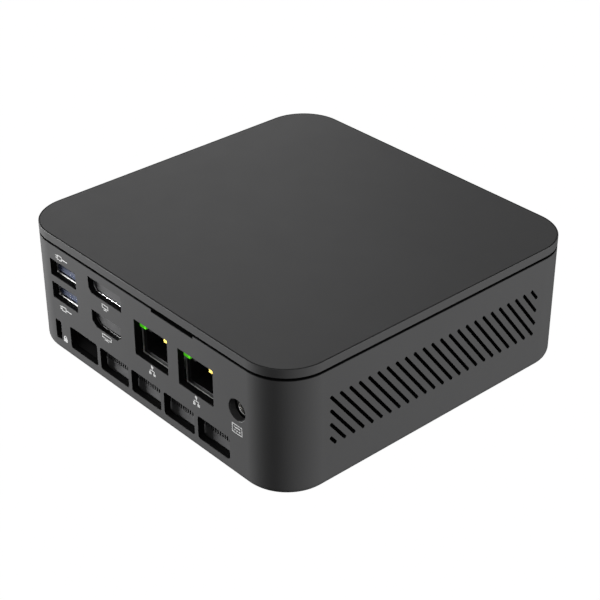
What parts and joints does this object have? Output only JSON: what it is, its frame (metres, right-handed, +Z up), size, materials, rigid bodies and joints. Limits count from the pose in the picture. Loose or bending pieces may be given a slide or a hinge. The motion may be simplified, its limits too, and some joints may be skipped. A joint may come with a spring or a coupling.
{
  "type": "mini pc",
  "caption": "Palm-sized rounded-square desktop computer with rear sockets, slanted side air slots, a lift-off top cover, a power button and a blower-cooled board inside.",
  "frame": {"origin": "centre of the footprint, on the plane the rubber feet rest on", "axes": "+Z up, +Y towards the back panel with the sockets, -Y towards the power button, +X to the left as seen from the back"},
  "size_m": [0.1284, 0.1248, 0.046],
  "materials": {
    "case_plastic": "dark grey, very fine spark-eroded grain",
    "button_plastic": "dark grey satin with a turned rim",
    "bottom_plate": "near-black powder coat",
    "rubber": "moulded, matt",
    "steel": "zinc-plated machine screw",
    "nickel": "nickel-plated pressed sheet",
    "blue_plastic": "slate blue contact carrier",
    "black_plastic": "black glass-filled moulding",
    "green_light": "green light pipe",
    "yellow_light": "yellow light pipe",
    "clear_light": "frosted clear light pipe",
    "board": "dark green solder mask on glass-fibre laminate",
    "chip_black": "black epoxy and black laminate",
    "copper": "bare copper, lightly tarnished",
    "fins": "black-anodised folded fins"
  },
  "bodies": {
    "case": {"main_shell": "case_plastic", "bottom_cover": "bottom_plate", "foot_rear_right": "rubber", "cover_screw_rear_right": "steel", "foot_rear_left": "rubber", "cover_screw_rear_left": "steel", "foot_front_left": "rubber", "cover_screw_front_left": "steel", "foot_front_right": "rubber", "cover_screw_front_right": "steel", "usb_stack_shell": "nickel", "usb_lower_tongue": "blue_plastic", "usb_upper_tongue": "blue_plastic", "hdmi_shell": "nickel", "hdmi_tongue": "black_plastic", "displayport_shell": "nickel", "displayport_tongue": "black_plastic", "video_stack_housing": "black_plastic", "lan_1_shell": "nickel", "lan_1_green_light": "green_light", "lan_1_yellow_light": "yellow_light", "lan_2_shell": "nickel", "lan_2_green_light": "green_light", "lan_2_yellow_light": "yellow_light", "dc_jack_housing": "black_plastic", "dc_jack_pin": "nickel", "front_usb_left_shell": "nickel", "front_usb_left_tongue": "blue_plastic", "front_usb_right_shell": "nickel", "front_usb_right_tongue": "blue_plastic", "usb_c_shell": "nickel", "usb_c_tongue": "black_plastic", "audio_jack": "black_plastic", "power_switch": "black_plastic", "power_light": "clear_light", "mainboard": "board", "board_screw_rear_right": "steel", "board_screw_rear_left": "steel", "board_screw_front_left": "steel", "board_screw_front_right": "steel", "memory_socket_rear": "black_plastic", "memory_module_rear": "board", "memory_socket_front": "black_plastic", "memory_module_front": "board", "storage_socket": "black_plastic", "storage_card": "chip_black", "radio_socket": "black_plastic", "radio_card": "chip_black", "storage_screw": "steel", "coin_cell": "steel", "aerial_left": "chip_black", "aerial_right": "chip_black", "cpu_package": "chip_black", "cold_plate": "copper", "heat_pipe": "copper", "fin_stack": "fins", "fan_housing": "black_plastic"},
    "lid": {"top_cover": "case_plastic"},
    "button": {"power_button": "button_plastic"},
    "impeller": {"fan_impeller": "chip_black"}
  },
  "joints": [
    {"name": "top_cover_lift", "type": "slide", "parent": "case", "child": "lid", "axis": [0, 0, 1], "range_m": [0, 0.04]},
    {"name": "power_button_press", "type": "slide", "parent": "case", "child": "button", "axis": [0, 1, 0], "range_m": [0, 0.0006], "stiffness_N_per_m": 2500},
    {"name": "fan_spin", "type": "hinge", "parent": "case", "child": "impeller", "pos_m": [-0.009, 0.012, 0.0098], "axis": [0, 0, 1], "continuous": true}
  ]
}
